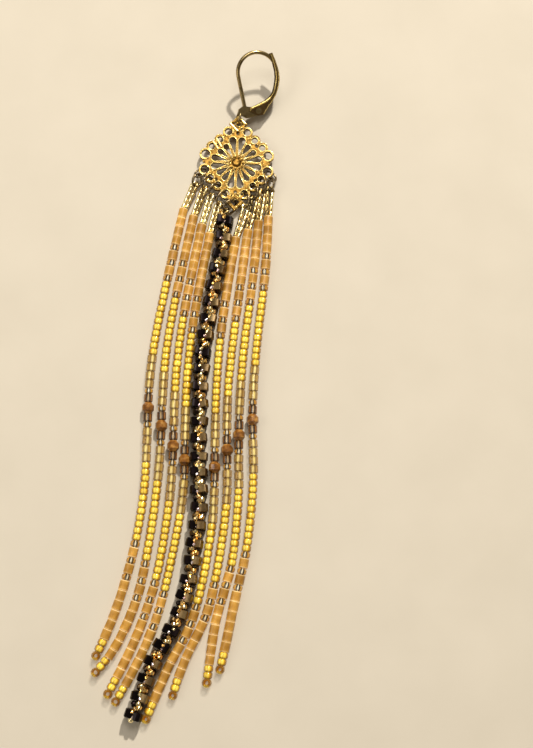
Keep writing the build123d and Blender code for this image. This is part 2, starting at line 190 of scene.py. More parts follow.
# hard metallic coats on glass, with a little bronze and violet in them
coats = {
    "metallicCube": {
        "colours": [(0.003, 0.002, 0.0025), (0.010, 0.006, 0.006), (0.15, 0.095, 0.04), (0.24, 0.16, 0.07)],
        "rough": 0.38, "coat": 0.15},
    "metallicSeed": {
        "colours": [(0.03, 0.014, 0.010), (0.50, 0.22, 0.09), (1.0, 0.60, 0.16), (1.0, 0.84, 0.46)],
        "rough": 0.16},
    "lilacSeed": {
        "colours": [(0.05, 0.02, 0.03), (0.50, 0.26, 0.26), (0.90, 0.66, 0.66), (1.0, 0.86, 0.84)],
        "rough": 0.16},
    "loopBead": {
        "colours": [(0.05, 0.035, 0.012), (0.26, 0.18, 0.06), (0.86, 0.62, 0.24), (1.0, 0.86, 0.48)],
        "rough": 0.26},
}
allCoats = {"grain": 1300, "detail": 3.0, "bump": 0.1, "grainShare": 0.35, "coat": 0.5,
            "shader": {"Metallic": 1.0, "Coat Roughness": 0.06}}

threads = {"thread": {"colours": [(0.75, 0.68, 0.55), (0.90, 0.86, 0.76)]},
           "ropeCore": {"colours": [(0.16, 0.085, 0.03), (0.34, 0.20, 0.08)]}}
allThreads = {"grain": 4000, "detail": 4.0, "bump": 0.3, "shader": {"Roughness": 0.7}}


def blankMaterial(name):
    material = bpy.data.materials.new(name)
    material.use_nodes = True
    tree = material.node_tree
    shader = next(node for node in tree.nodes if node.type == "BSDF_PRINCIPLED")
    return material, tree, shader


def objectNoise(tree, finish):
    place = nodeResult(tree, "ShaderNodeTexCoord", output="Object")
    return nodeResult(tree, "ShaderNodeTexNoise", {
        "Vector": place, "Scale": finish["grain"], "Detail": finish["detail"],
        "Distortion": finish.get("waver", 0)})


def beadValue(tree, name):
    # along runs from a bead's upper end to its lower one, facing from its sides to its top, and tint makes
    # each bead a little paler or deeper than its neighbours; along and facing place the painted highlights
    # and painted shade
    return nodeResult(tree, "ShaderNodeAttribute", output="Fac", attribute_name=name)


def ramp(tree, value, colours):
    if isinstance(colours, list):
        colours = {index / (len(colours) - 1): colour for index, colour in enumerate(colours)}
    node = addNode(tree, "ShaderNodeValToRGB", {"Fac": value})
    elements = node.color_ramp.elements
    while len(elements) < len(colours):
        elements.new(0.5)
    for element, (position, colour) in zip(elements, colours.items()):
        element.position = position
        element.color = (*colour, 1)
    return node.outputs["Color"]


def multiplied(tree, first, second):
    mix = addNode(tree, "ShaderNodeMix", data_type="RGBA", blend_type="MULTIPLY")
    fillInputs(tree, mix, {"Factor": 1.0, colourA: first, colourB: second})
    return mix.outputs[colourResult]


def addBump(tree, shader, height, strength, depth=0.05):
    fillInputs(tree, shader, {"Normal": nodeResult(tree, "ShaderNodeBump", {
        "Strength": strength, "Distance": depth * mm, "Height": height})})


def surfaceFinish(name, finish):
    # metals, coats, copper glass and thread: the colour follows a fine grain
    material, tree, shader = blankMaterial(name)
    grain = tone = objectNoise(tree, finish)
    if "grainShare" in finish:  # a bead's own tint moves it along the colours
        tone = nodeResult(tree, "ShaderNodeMath", operation="MULTIPLY_ADD", inputs={
            0: grain, 1: finish["grainShare"], 2: beadValue(tree, "tint")})
        fillInputs(tree, shader, {"Roughness": finish["rough"], "Coat Weight": finish["coat"]})
    if "worn" in finish:
        low, high = finish["wornAt"]
        dull, rubbed = finish["worn"]
        fillInputs(tree, shader, {"Roughness": nodeResult(tree, "ShaderNodeMapRange", {
            "Value": grain, "From Min": low, "From Max": high, "To Min": dull, "To Max": rubbed})})
    fillInputs(tree, shader, {"Base Color": ramp(tree, tone, finish["colours"]), **finish["shader"]})
    addBump(tree, shader, grain, finish["bump"])
    return material


def glassFinish(name, finish):
    # the colour runs along the bead, differs from bead to bead, and changes again across it; along and
    # across it carries painted shade and painted highlights, and frosted glass takes streaks from its grain
    # in place of the change across
    material, tree, shader = blankMaterial(name)
    grain = objectNoise(tree, finish)
    if "ends" in finish:
        ends, middle, reach = finish["ends"], finish["middle"], finish["endReach"]
        finish["along"] = {0: ends, reach: middle, 1 - reach: middle, 1: ends}
    colour = multiplied(tree, ramp(tree, beadValue(tree, "along"), finish["along"]),
                        ramp(tree, beadValue(tree, "tint"), finish["tints"]))
    if "streaks" in finish:
        streaksAndPaintedGlints = ramp(tree, grain, finish["streaks"])
    else:
        streaksAndPaintedGlints = ramp(tree, beadValue(tree, "facing"), finish["across"])
    fillInputs(tree, shader, {"Base Color": multiplied(tree, colour, streaksAndPaintedGlints), **finish["shader"]})
    # a bead hides what is in it, but its shadow is thin, as the shadow of glass is
    rays = nodeResult(tree, "ShaderNodeLightPath", output="Is Shadow Ray")
    fillInputs(tree, shader, {"Alpha": nodeResult(tree, "ShaderNodeMapRange", {
        "Value": rays, "To Min": finish["hide"], "To Max": finish["shadow"]})})
    addBump(tree, shader, grain, finish["bump"])
    return material


materials = {}
for makeFinish, shared, family in (
        (surfaceFinish, allMetals, metals), (glassFinish, allShells, shells),
        (glassFinish, allLinings, linings), (glassFinish, frostedGlass, {"frostedGlass": {}}),
        (surfaceFinish, copperGlass, {"copperGlass": {}}), (surfaceFinish, allCoats, coats),
        (surfaceFinish, allThreads, threads)):
    for name, finish in family.items():
        materials[name] = makeFinish(name, {**shared, **finish})
        arrangeNodes(materials[name].node_tree)
print("finishes made:", len(materials))

# beads: the core is the width that the lining seems to have through the glass, and the two
# finishes are the glass and the lining
beadKinds = {
    "yellow": {"length": 1.43, "width": 2.1, "bore": 0.9, "core": 1.4, "form": "plump",
               "finishes": ("yellowGlass", "yellowLining")},
    "amber": {"length": 1.45, "width": 2.15, "bore": 0.9, "core": 1.1, "form": "round",
              "finishes": ("amberGlass", "darkLining")},
    "frosted": {"length": 2.2, "width": 2.1, "bore": 0.55, "core": 0.55, "form": "hexagon",
                "finishes": ("frostedGlass", "frostedGlass")},
    "topaz": {"length": 1.9, "width": 2.1, "bore": 0.8, "core": 1.05, "form": "tube",
              "finishes": ("topazGlass", "creamLining")},
    "small": {"length": 1.25, "width": 1.9, "bore": 0.8, "core": 1.15, "form": "round",
              "finishes": ("amberGlass", "darkLining")},
    "brown": {"length": 1.9, "width": 2.0, "bore": 0.8, "core": 1.15, "form": "tube",
              "finishes": ("brownGlass", "darkLining")},
}

# outer forms: share of the radius and of half the length, from one end to the other
forms = {
    "round": [(0.56, -1.0), (0.97, -0.48), (0.97, 0.48), (0.56, 1.0)],
    "plump": [(0.74, -1.0), (0.97, -0.55), (0.97, 0.55), (0.74, 1.0)],
    "tube": [(0.80, -1.0), (1.0, -0.80), (1.0, 0.80), (0.80, 1.0)],
    "hexagon": [(0.90, -1.0), (1.0, -0.90), (1.0, 0.90), (0.90, 1.0)],
    "cube": [(0.88, -1.0), (1.0, -0.86), (1.0, 0.86), (0.88, 1.0)],
}
sections = {"roundSides": 12, "hexagonCorner": 7, "cubeCorner": ((1, 0.72), (0.92, 0.92), (0.72, 1))}
holeRows = {"mouth": 0.97, "core": 0.55}  # shares of half the length
glassPart, liningPart = 0, 1
sharpAngle = math.radians(38)


def sectionPoints(form):
    # the bead's outline across its hole, as shares of its radius
    if form == "cube":
        return [turnedBy(math.radians(90 * quarter), x, y)
                for quarter in range(4) for x, y in sections["cubeCorner"]]
    if form == "hexagon":
        corner = sections["hexagonCorner"]
        angles = [math.radians(60 * side + turn) for side in range(6) for turn in (-corner, corner)]
    else:
        angles = [2 * math.pi * side / sections["roundSides"] for side in range(sections["roundSides"])]
    return [(math.cos(angle), math.sin(angle)) for angle in angles]


def beadShape(name, kind):
    # a drilled bead along Z: its outside from end to end, then its hole from end to end
    section = sectionPoints(kind["form"])
    count = len(section)
    radius, half, bore = kind["width"] / 2 * mm, kind["length"] / 2 * mm, kind["bore"] / 2 * mm
    core = kind.get("core", kind["bore"]) / 2 * mm
    points = []
    for share, height in forms[kind["form"]]:
        points += [(x * share * radius, y * share * radius, height * half) for x, y in section]
    mouth, inner = holeRows["mouth"], holeRows["core"]
    for height, reach in ((mouth, bore), (inner, core), (-inner, core), (-mouth, bore)):
        points += [(x / math.hypot(x, y) * reach, y / math.hypot(x, y) * reach, height * half)
                   for x, y in section]
    rows, liningStart = len(points) // count, len(forms[kind["form"]])
    faces, parts = [], []
    for row in range(rows):
        this, following = row * count, (row + 1) % rows * count
        for step in range(count):
            after = (step + 1) % count
            faces.append((this + step, this + after, following + after, following + step))
            parts.append(liningPart if liningStart <= row < rows - 1 else glassPart)
    mesh = bpy.data.meshes.new(name)
    mesh.from_pydata(points, [], faces)
    mesh.shade_smooth()
    mesh.set_sharp_from_angle(angle=sharpAngle)
    along = [0.5 + z / (2 * half) for x, y, z in points]
    # facing places the painted highlight on top and the painted shade lines at the sides
    facing = [0.5 + y / math.hypot(x, y) / 2 for x, y, z in points]
    for field, numberKind, domain, values in (
            ("finish", "INT", "FACE", parts), ("along", "FLOAT", "POINT", along),
            ("facing", "FLOAT", "POINT", facing)):
        mesh.attributes.new(field, numberKind, domain).data.foreach_set("value", values)
    return newObject(name, mesh)


# what each point of a string says about its bead: how far along the route it is, how far it
# stands across and above it, and how the bead is coloured, turned and stretched
pointFields = {"station": "FLOAT", "across": "FLOAT", "lift": "FLOAT", "tint": "FLOAT", "kind": "INT",
               "turn": "FLOAT_VECTOR", "stretch": "FLOAT_VECTOR"}


def beadPoint(kind, station, tint, turn, stretch=1, across=0.0, lift=0.0):
    return {"station": station, "across": across, "lift": lift, "tint": min(1, max(0, tint)),
            "kind": kind, "turn": turn, "stretch": (1, 1, stretch)}


def fieldValue(tree, name):
    return nodeResult(tree, "GeometryNodeInputNamedAttribute", {"Name": name},
                      data_type=pointFields.get(name, "INT"))


def vectorResult(tree, operation, *inputs, scale=None):
    sockets = dict(enumerate(inputs))
    if scale is not None:
        sockets["Scale"] = scale
    return nodeResult(tree, "ShaderNodeVectorMath", sockets, operation=operation)


def isNumber(tree, value, number):
    return nodeResult(tree, "FunctionNodeCompare", {wholeA: value, wholeB: number}, data_type="INT",
                      operation="EQUAL")


def randomNumber(tree, least, most, seed):
    return nodeResult(tree, "FunctionNodeRandomValue", {floatLeast: least, floatMost: most, "Seed": seed},
                      floatValue, data_type="FLOAT")


def newTree(name, inputs):
    tree = bpy.data.node_groups.new(name, "GeometryNodeTree")
    tree.is_modifier = True
    for label, kind in {"Geometry": "Geometry", **inputs}.items():
        tree.interface.new_socket(label, in_out="INPUT", socket_type="NodeSocket" + kind)
    tree.interface.new_socket("Geometry", in_out="OUTPUT", socket_type="NodeSocketGeometry")
    return tree, addNode(tree, "NodeGroupInput").outputs


def closeTree(tree, geometry, finishes):
    # what the tree makes becomes one plain mesh, and each numbered part of it gets its finish
    latest = nodeResult(tree, "GeometryNodeRealizeInstances", {"Geometry": geometry})
    for number, finish in enumerate(finishes):
        inputs = {"Geometry": latest, "Material": finish}
        if len(finishes) > 1:
            inputs["Selection"] = isNumber(tree, fieldValue(tree, "finish"), number)
        latest = nodeResult(tree, "GeometryNodeSetMaterial", inputs)
    addNode(tree, "NodeGroupOutput", {"Geometry": latest})
    arrangeNodes(tree)
    return tree


def objectGeometry(tree, given):
    return nodeResult(tree, "GeometryNodeObjectInfo", {"Object": given}, "Geometry",
                      transform_space="ORIGINAL")


def routeTree(name, kindCount, finishCount):
    # points with a station along the route become beads that look along it
    beadNames = ["Bead " + str(number) for number in range(kindCount)]
    finishNames = ["Finish " + str(number) for number in range(finishCount)]
    tree, given = newTree(name, {
        "Route": "Object", "Turn spread": "Float", "Size spread": "Float", "Seed": "Int",
        **dict.fromkeys(beadNames, "Object"), **dict.fromkeys(finishNames, "Material")})
    sample = addNode(tree, "GeometryNodeSampleCurve", mode="LENGTH", inputs={
        "Curves": objectGeometry(tree, given["Route"]), "Length": fieldValue(tree, "station")})
    tangent, spot = sample.outputs["Tangent"], sample.outputs["Position"]
    side = vectorResult(tree, "NORMALIZE", vectorResult(tree, "CROSS_PRODUCT", (0, 0, 1), tangent))
    above = vectorResult(tree, "CROSS_PRODUCT", tangent, side)
    for field, direction in (("across", side), ("lift", above)):
        move = vectorResult(tree, "SCALE", direction, scale=fieldValue(tree, field))
        spot = vectorResult(tree, "ADD", spot, move)
    points = nodeResult(tree, "GeometryNodeSetPosition", {"Geometry": given["Geometry"], "Position": spot})

    looking = nodeResult(tree, "FunctionNodeAlignRotationToVector", {"Vector": tangent}, axis="Z")
    level = nodeResult(tree, "FunctionNodeAlignRotationToVector", {"Rotation": looking, "Vector": side},
                       axis="X", pivot_axis="Z")
    jitter = nodeResult(tree, "FunctionNodeRandomValue", data_type="FLOAT_VECTOR", inputs={
        "Min": (-1, -1, -1), "Max": (1, 1, 1), "Seed": given["Seed"]})
    stray = vectorResult(tree, "SCALE", jitter, scale=given["Turn spread"])
    turned = nodeResult(tree, "FunctionNodeEulerToRotation",
                        {"Euler": vectorResult(tree, "ADD", fieldValue(tree, "turn"), stray)})
    rotation = nodeResult(tree, "FunctionNodeRotateRotation", {"Rotation": level, "Rotate By": turned},
                          rotation_space="LOCAL")
    swell = nodeResult(tree, "ShaderNodeMath", operation="MULTIPLY_ADD", inputs={
        0: randomNumber(tree, -1, 1, given["Seed"]), 1: given["Size spread"], 2: 1.0})
    stretch = vectorResult(tree, "SCALE", fieldValue(tree, "stretch"), scale=swell)

    join = addNode(tree, "GeometryNodeJoinGeometry")
    for number, beadName in enumerate(beadNames):
        beads = nodeResult(tree, "GeometryNodeInstanceOnPoints", {
            "Points": points, "Selection": isNumber(tree, fieldValue(tree, "kind"), number),
            "Instance": objectGeometry(tree, given[beadName]), "Rotation": rotation, "Scale": stretch})
        tree.links.new(beads, join.inputs["Geometry"])
    return closeTree(tree, join.outputs["Geometry"], [given[finishName] for finishName in finishNames])


def madeFromTree(name, carrier, tree, values):
    modifier = carrier.modifiers.new("form", "NODES")
    modifier.node_group = tree
    sockets = {item.name: item.identifier for item in tree.interface.items_tree if item.in_out == "INPUT"}
    for key, value in values.items():
        modifier[sockets[key]] = value
    graph = bpy.context.evaluated_depsgraph_get()
    mesh = bpy.data.meshes.new_from_object(carrier.evaluated_get(graph), depsgraph=graph)
    carrier.modifiers.remove(modifier)
    bpy.data.objects.remove(carrier)
    mesh.name = name
    return newObject(name, mesh)


def beadsOnRoute(name, tree, route, rows, shapes, finishes, seed, turnSpread=0.04, sizeSpread=0.03):
    mesh = bpy.data.meshes.new(name + "Points")
    mesh.from_pydata([(0, 0, 0)] * len(rows), [], [])
    for field, kind in pointFields.items():
        values = [row[field] for row in rows]
        if kind == "FLOAT_VECTOR":
            values = [number for value in values for number in value]
        key = "vector" if kind == "FLOAT_VECTOR" else "value"
        mesh.attributes.new(field, kind, "POINT").data.foreach_set(key, values)
    values = {"Route": route, "Turn spread": turnSpread, "Size spread": sizeSpread, "Seed": seed}
    values.update({"Bead " + str(number): shape for number, shape in enumerate(shapes)})
    values.update({"Finish " + str(number): finish for number, finish in enumerate(finishes)})
    piece = madeFromTree(name, newObject(name + "Points", mesh), tree, values)
    for field in list(pointFields) + ["finish"]:
        if field != "tint" and field in piece.data.attributes:
            piece.data.attributes.remove(piece.data.attributes[field])
    bpy.data.objects.remove(route)
    return piece


def newCurve(name, kind, lines):
    curve = bpy.data.curves.new(name, "CURVE")
    curve.dimensions = "3D"
    for points, closed in lines:
        spline = curve.splines.new(kind)
        spline.points.add(len(points) - 1)
        for target, point in zip(spline.points, points):
            target.co = (*point, 1)
        spline.use_cyclic_u = closed
    return newObject(name, curve)


def routeCurve(name, points):
    route = newCurve(name, "NURBS", [(points, False)])
    route.data.resolution_u = 16
    route.data.splines[0].order_u = 3
    route.data.splines[0].use_endpoint_u = True
    return route


def linePoints(route):
    # the route's own points, read from its smooth line
    bpy.context.view_layer.update()
    mesh = bpy.data.meshes.new_from_object(route)
    points = [vertex.co.copy() for vertex in mesh.vertices]
    bpy.data.meshes.remove(mesh)
    return points


def lengths(points):
    total = [0.0]
    for before, after in zip(points, points[1:]):
        total.append(total[-1] + (after - before).length)
    return total


def nearestStation(points, target):
    stations = lengths(points)
    best = (math.inf, 0)
    for index in range(len(points) - 1):
        start, step = points[index], points[index + 1] - points[index]
        share = max(0, min(1, (target - start).dot(step) / step.length_squared))
        gap = (start + step * share - target).length
        best = min(best, (gap, stations[index] + share * step.length))
    return best[1]


# tint is the middle and the spread of the beads' shades; copperRun is the first of the two
# route points that the copper bead lies between
strings = {
    "height": 1.14, "copperHeight": 1.38, "copperRun": 3, "copperLength": 2.5, "stopperReach": 0.9,
    "frostedCount": {1: 4, 2: 5, 3: 6, 4: 7, 5: 7, 6: 6, 7: 5, 8: 4}, "lastFrosted": 6, "lastYellow": 2,
    "yellowCount": 12, "topazCount": 4, "tint": (0.5, 0.22), "nearlyUp": (-0.3, 0.3), "beadGap": 0.985,
    "seed": 100,
}
anyTurn = (0, 6.28)

stringRoutes = {
    1: [(-18.8, 38.4), (-21.8, 24.5), (-24.9, 8.5), (-26.1, -2.5), (-26.25, -13.0),
        (-26.5, -25.5), (-28.5, -38.5), (-31.2, -48.5), (-34.2, -57.0), (-36.4, -61.5)],
    2: [(-16.5, 36.8), (-19.6, 22.0), (-22.4, 6.0), (-23.1, -6.5), (-23.25, -17.0),
        (-24.0, -27.0), (-25.9, -40.5), (-27.7, -49.5), (-31.4, -58.3), (-34.0, -62.3),
        (-36.4, -65.0)],
    3: [(-14.6, 34.7), (-17.8, 18.8), (-20.1, 2.0), (-20.45, -11.2), (-20.6, -21.3),
        (-21.3, -30.0), (-23.3, -43.5), (-26.0, -53.0), (-29.8, -62.2), (-33.7, -69.5)],
    4: [(-12.75, 32.6), (-15.9, 16.5), (-17.7, 0.0), (-18.0, -14.2), (-17.95, -24.6),
        (-18.9, -32.5), (-21.6, -46.5), (-24.0, -55.2), (-28.3, -64.8), (-32.0, -71.1)],
    5: [(-6.9, 31.6), (-9.6, 16.0), (-11.1, -1.0), (-11.35, -15.8), (-11.35, -26.2),
        (-11.7, -33.8), (-14.2, -48.5), (-16.9, -56.8), (-20.4, -62.6), (-23.3, -69.4),
        (-25.5, -74.7)],
    6: [(-4.2, 33.4), (-6.1, 19.0), (-8.4, 0.0), (-8.8, -12.0), (-8.55, -22.3),
        (-8.7, -30.5), (-10.9, -45.5), (-13.0, -53.6), (-16.3, -60.0), (-18.7, -65.5),
        (-19.9, -69.8)],
    7: [(-1.8, 35.5), (-2.8, 23.0), (-5.2, 5.5), (-6.05, -8.7), (-6.15, -19.0),
        (-5.95, -27.0), (-7.2, -41.5), (-9.9, -50.4), (-11.2, -55.5), (-12.2, -63.0),
        (-12.7, -67.2)],
    8: [(0.45, 36.6), (-0.1, 23.5), (-1.9, 9.5), (-3.15, -5.2), (-3.0, -15.6),
        (-2.75, -24.0), (-4.1, -38.8), (-6.7, -49.0), (-8.5, -58.5), (-9.9, -64.4)],
}

kindNames = list(beadKinds)
stringShapes = [beadShape(kind + "Bead", settings) for kind, settings in beadKinds.items()]
# each kind's glass and lining get a number of their own
stringFinishes = []
for shape, settings in zip(stringShapes, beadKinds.values()):
    field = shape.data.attributes["finish"].data
    values = [0] * len(field)
    field.foreach_get("value", values)
    field.foreach_set("value", [value + len(stringFinishes) for value in values])
    stringFinishes += [materials[finish] for finish in settings["finishes"]]
stringTree = routeTree("stringOfBeads", len(stringShapes), len(stringFinishes))


def beadOrder(frostedCount):
    spacer = ["amber", "frosted"] * 2 + ["amber"]
    yellow, topaz = ["yellow"] * strings["yellowCount"], ["topaz"] * strings["topazCount"]
    upper = ["frosted"] * frostedCount + spacer + yellow + topaz + ["small", "brown"]
    lower = ["brown", "small"] + topaz + yellow + spacer
    return upper, lower + ["frosted"] * strings["lastFrosted"] + ["yellow"] * strings["lastYellow"]


def stringPoints(number):
    points = []
    for index, (x, y) in enumerate(stringRoutes[number]):
        raised = index in (strings["copperRun"], strings["copperRun"] + 1)
        points.append(place(x, y, strings["copperHeight"] if raised else strings["height"]))
    return points


def beadRow(kind, station, stretch, chance, lean=0):
    # the lining's painted bright side stays uppermost, and the frosted tubes lie on any of their sides
    spin = chance.uniform(*(anyTurn if kind == "frosted" else strings["nearlyUp"]))
    tint = chance.gauss(*strings["tint"])
    return beadPoint(kindNames.index(kind), station, tint, (lean, 0, spin), stretch)


def fillRun(kinds, start, end, chance):
    # the beads share the run out, so that the last one ends where the run does
    natural = sum(beadKinds[kind]["length"] for kind in kinds) * mm
    scale = (end - start) / natural
    rows, station = [], start
    for kind in kinds:
        length = beadKinds[kind]["length"] * mm * scale
        rows.append(beadRow(kind, station + length / 2, scale * strings["beadGap"], chance))
        station += length
    return rows, scale


for number in stringRoutes:
    chance = random.Random(strings["seed"] + number)
    points = stringPoints(number)
    route = routeCurve("stringRoute" + str(number), points)
    line = linePoints(route)
    total = lengths(line)[-1]
    run = strings["copperRun"]
    copperStation = nearestStation(line, (points[run] + points[run + 1]) / 2)
    half = strings["copperLength"] / 2 * mm
    upper, lower = beadOrder(strings["frostedCount"][number])
    rows, upperScale = fillRun(upper, 0, copperStation - half, chance)
    more, lowerScale = fillRun(lower, copperStation + half, total - strings["stopperReach"] * mm, chance)
    stopper = beadRow("yellow", total, 1.0, chance, math.pi / 2)
    rows += more + [stopper]
    piece = beadsOnRoute("string_" + str(number) + "_beads", stringTree, route, rows, stringShapes,
                         stringFinishes, number)
    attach(piece, "earring")
    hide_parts("string_" + str(number))
    print("string", number, "beads", len(rows), "pitch", round(upperScale, 3), round(lowerScale, 3),
          "length mm", round(total / mm, 1))

plateLean = math.radians(2.2)
# loops of tiny beads at the tops of the strings and the rope: wire, ring and bead sizes,
# how brightly each one shines as painted light and shade, from string 1 to string 8 and the rope, and the
# last string that hangs left of the rope
loops = {
    "wire": 0.225, "bead": 0.35, "clearance": 0.1, "spread": 0.78, "seat": 0.3, "grip": 0.6, "tilt": 55,
    "beadLength": 1.45, "beadWidth": 0.86, "beadBore": 0.3, "beadGap": 0.97, "ringRadius": 1.65,
    "linkRadius": 1.4, "paintedShadeLeg": -0.1, "paintedLightLeg": 0.25, "paintedShineSpread": 0.15,
    "paintedShine": {1: 0.65, 2: 0.6, 3: 1.0, 4: 0.7, 5: 0.7, 6: 0.25, 7: 0.45, 8: 0.3, 9: 0.3},
    "lastLeft": 4, "turnSpread": 0.05, "sizeSpread": 0.05, "seed": 200,
}
# how each ring hangs, in degrees from straight down
ringHeadings = {1: -54, 2: -26, 3: -29, 4: -30, 5: 7, 6: 8, 7: 8, 8: 40}
linkedStrings = (1, 8)
ropeLoop, ropeHeading = 9, -45
loopShape = beadShape("loopBead", {"length": loops["beadLength"], "width": loops["beadWidth"],
                                   "bore": loops["beadBore"], "form": "tube"})
loopTree = routeTree("loopOfBeads", 1, 2)


def headingVector(degrees):
    angle = math.radians(degrees) - plateLean
    return Vector((math.sin(angle), -math.cos(angle), 0))


def nodeMiddle(name):
    low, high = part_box(name)
    return (low + high) / 2


def loopRoute(name, wirePlace, heading, tilt, top, downward):
    # from one side of the string's top, round the ring's wire, and back to the other side
    levelSide = Vector((-heading.y, heading.x, 0))
    turn = math.radians(tilt)
    axis = Vector((0, 0, 1)) * math.cos(turn) - levelSide * math.sin(turn)
    reachSide = Vector((-downward.y, downward.x, 0)).normalized()
    if axis.dot(reachSide) < 0:
        reachSide = -reachSide
    offset = axis * (loops["wire"] + loops["bead"] + loops["clearance"]) * mm
    back = heading * offset.length
    grip = heading * loops["grip"] * mm
    foot = top + downward * loops["seat"] * mm
    reach = reachSide * loops["spread"] / 2 * mm
    return routeCurve(name, [foot + reach, wirePlace + offset + grip, wirePlace + offset - back,
                             wirePlace - offset - back, wirePlace - offset + grip, foot - reach])


def makeLoop(name, number, route, replaced):
    chance = random.Random(loops["seed"] + number)
    total, natural = lengths(linePoints(route))[-1], loops["beadLength"] * mm
    count = round(total / natural)
    stretch = total / count / natural * loops["beadGap"]
    rows = []
    for index in range(count):
        # painted light and shade: one leg is drawn lighter than the other, and some loops lighter than the
        # rest
        paintedShine = loops["paintedShine"][number] + loops["paintedLightLeg" if index >= count / 2 else "paintedShadeLeg"]
        tint, spin = chance.gauss(paintedShine, loops["paintedShineSpread"]), chance.uniform(*anyTurn)
        rows.append(beadPoint(0, (index + 0.5) * total / count, tint, (0, 0, spin), stretch))
    piece = beadsOnRoute(name, loopTree, route, rows, [loopShape], [materials["loopBead"]] * 2, number,
                         loops["turnSpread"], loops["sizeSpread"])
    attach(piece, "earring")
    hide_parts(replaced)


for number, degrees in ringHeadings.items():
    top, below = stringPoints(number)[:2]
    side = -1 if number <= loops["lastLeft"] else 1
    heading, radius = headingVector(degrees), loops["ringRadius"] * mm
    middle = nodeMiddle("jump_ring_" + str(number))
    if number in linkedStrings:
        level = Vector((top.x, top.y, middle.z))
        heading, radius = (level - middle).normalized(), loops["linkRadius"] * mm
        middle = nodeMiddle("link_ring_" + str(number))
    route = loopRoute("loopRoute" + str(number), middle + heading * radius, heading, side * loops["tilt"],
                      top, (below - top).normalized())
    makeLoop("string_" + str(number) + "_loop", number, route, "string_" + str(number))
print("bead loops made")

# the rope is woven of rows of two cubes over two more, with narrow rows of small beads between
# and sparks down its middle; two numbers in brackets are the least and the most of a random value
rope = {
    "height": 1.72, "rowPitch": 3.86, "firstRow": 0.6, "rows": 30, "rowStray": (-0.2, 0.2),
    "sway": (-0.15, 0.15), "halfWidth": 0.95, "cubeLift": 0.78, "cubeStray": (-0.15, 0.25),
    # painted light and shade: the left cubes are drawn black and the right ones bronze, as light falls on
    # them, and the lower cubes darker
    "liftStray": (-0.06, 0.04), "blackAndShadedTint": (0.0, 0.12), "litBronzeTint": (0.45, 0.75), "lean": 0.26,
    "leanStray": (-0.12, 0.12), "tip": (-0.1, 0.1), "roll": (-0.12, 0.12),
    "underLift": -0.56, "underShift": 0.1, "shadedUnderTint": (0.25, 0.5),
    "narrowSide": 0.62, "narrowLift": 0.72, "narrowShift": 0.2, "narrowTurn": (-0.5, 0.5),
    "seedTint": (0.1, 0.75), "warmTint": (0.4, 1.0), "lowSide": 0.7, "lowLift": -0.62,
    "lowTint": (0.2, 0.6), "lowTip": (-0.3, 0.3),
    "sparks": 4, "sparkPitch": 0.96, "sparkFirst": -1.5, "sparkSide": (-0.45, 0.45),
    "sparkLift": 1.05, "sparkRise": (0, 0.15), "sparkTint": (0.35, 1.0), "sparkTurn": (-0.9, 0.9),
    "coreTint": 0.3, "seed": 7, "treeSeed": 3, "turnSpread": 0.03, "sizeSpread": 0.02,
    "blackRows": (0, 8, 24, 25, 29),  # where the picture shows both cubes black
    "glintRows": (13, 14, 15),  # where it shows one spark more
}
ropeRoute = [
    (-9.3, 35.8), (-10.25, 28.0), (-11.9, 19.5), (-13.6, 9.0), (-14.8, 0.0), (-14.9, -10.0),
    (-14.85, -22.0), (-14.5, -30.5), (-16.0, -40.5), (-17.4, -49.5), (-20.0, -55.7), (-23.2, -60.8),
    (-25.6, -66.6), (-27.0, -71.0), (-28.5, -74.9)]
ropeKinds = {
    "cube": {"length": 1.8, "width": 1.8, "bore": 0.9, "form": "cube", "coat": "metallicCube"},
    "seed": {"length": 1.15, "width": 1.5, "bore": 0.5, "form": "round", "coat": "metallicCube"},
    "spark": {"length": 1.0, "width": 1.15, "bore": 0.4, "form": "round", "coat": "metallicSeed"},
    "warm": {"length": 1.25, "width": 1.35, "bore": 0.5, "form": "round", "coat": "metallicSeed"},
    "lilac": {"length": 0.9, "width": 1.0, "bore": 0.4, "form": "round", "coat": "lilacSeed"},
    "core": {"length": 3.9, "width": 1.1, "bore": 0.3, "form": "tube", "coat": "ropeCore"},
}
ropeNames = list(ropeKinds)
ropeShapes = [beadShape(kind + "RopeBead", settings) for kind, settings in ropeKinds.items()]
ropeFinishes = [materials[settings["coat"]] for settings in ropeKinds.values()]
for number, shape in enumerate(ropeShapes):
    field = shape.data.attributes["finish"].data
    field.foreach_set("value", [number] * len(field))
ropeTree = routeTree("ropeOfCubes", len(ropeShapes), len(ropeFinishes))


def ropeBead(kind, station, across, lift, tint, turn=(0, 0, 0)):
    return beadPoint(ropeNames.index(kind), station * mm, tint, turn, 1, across * mm, lift * mm)


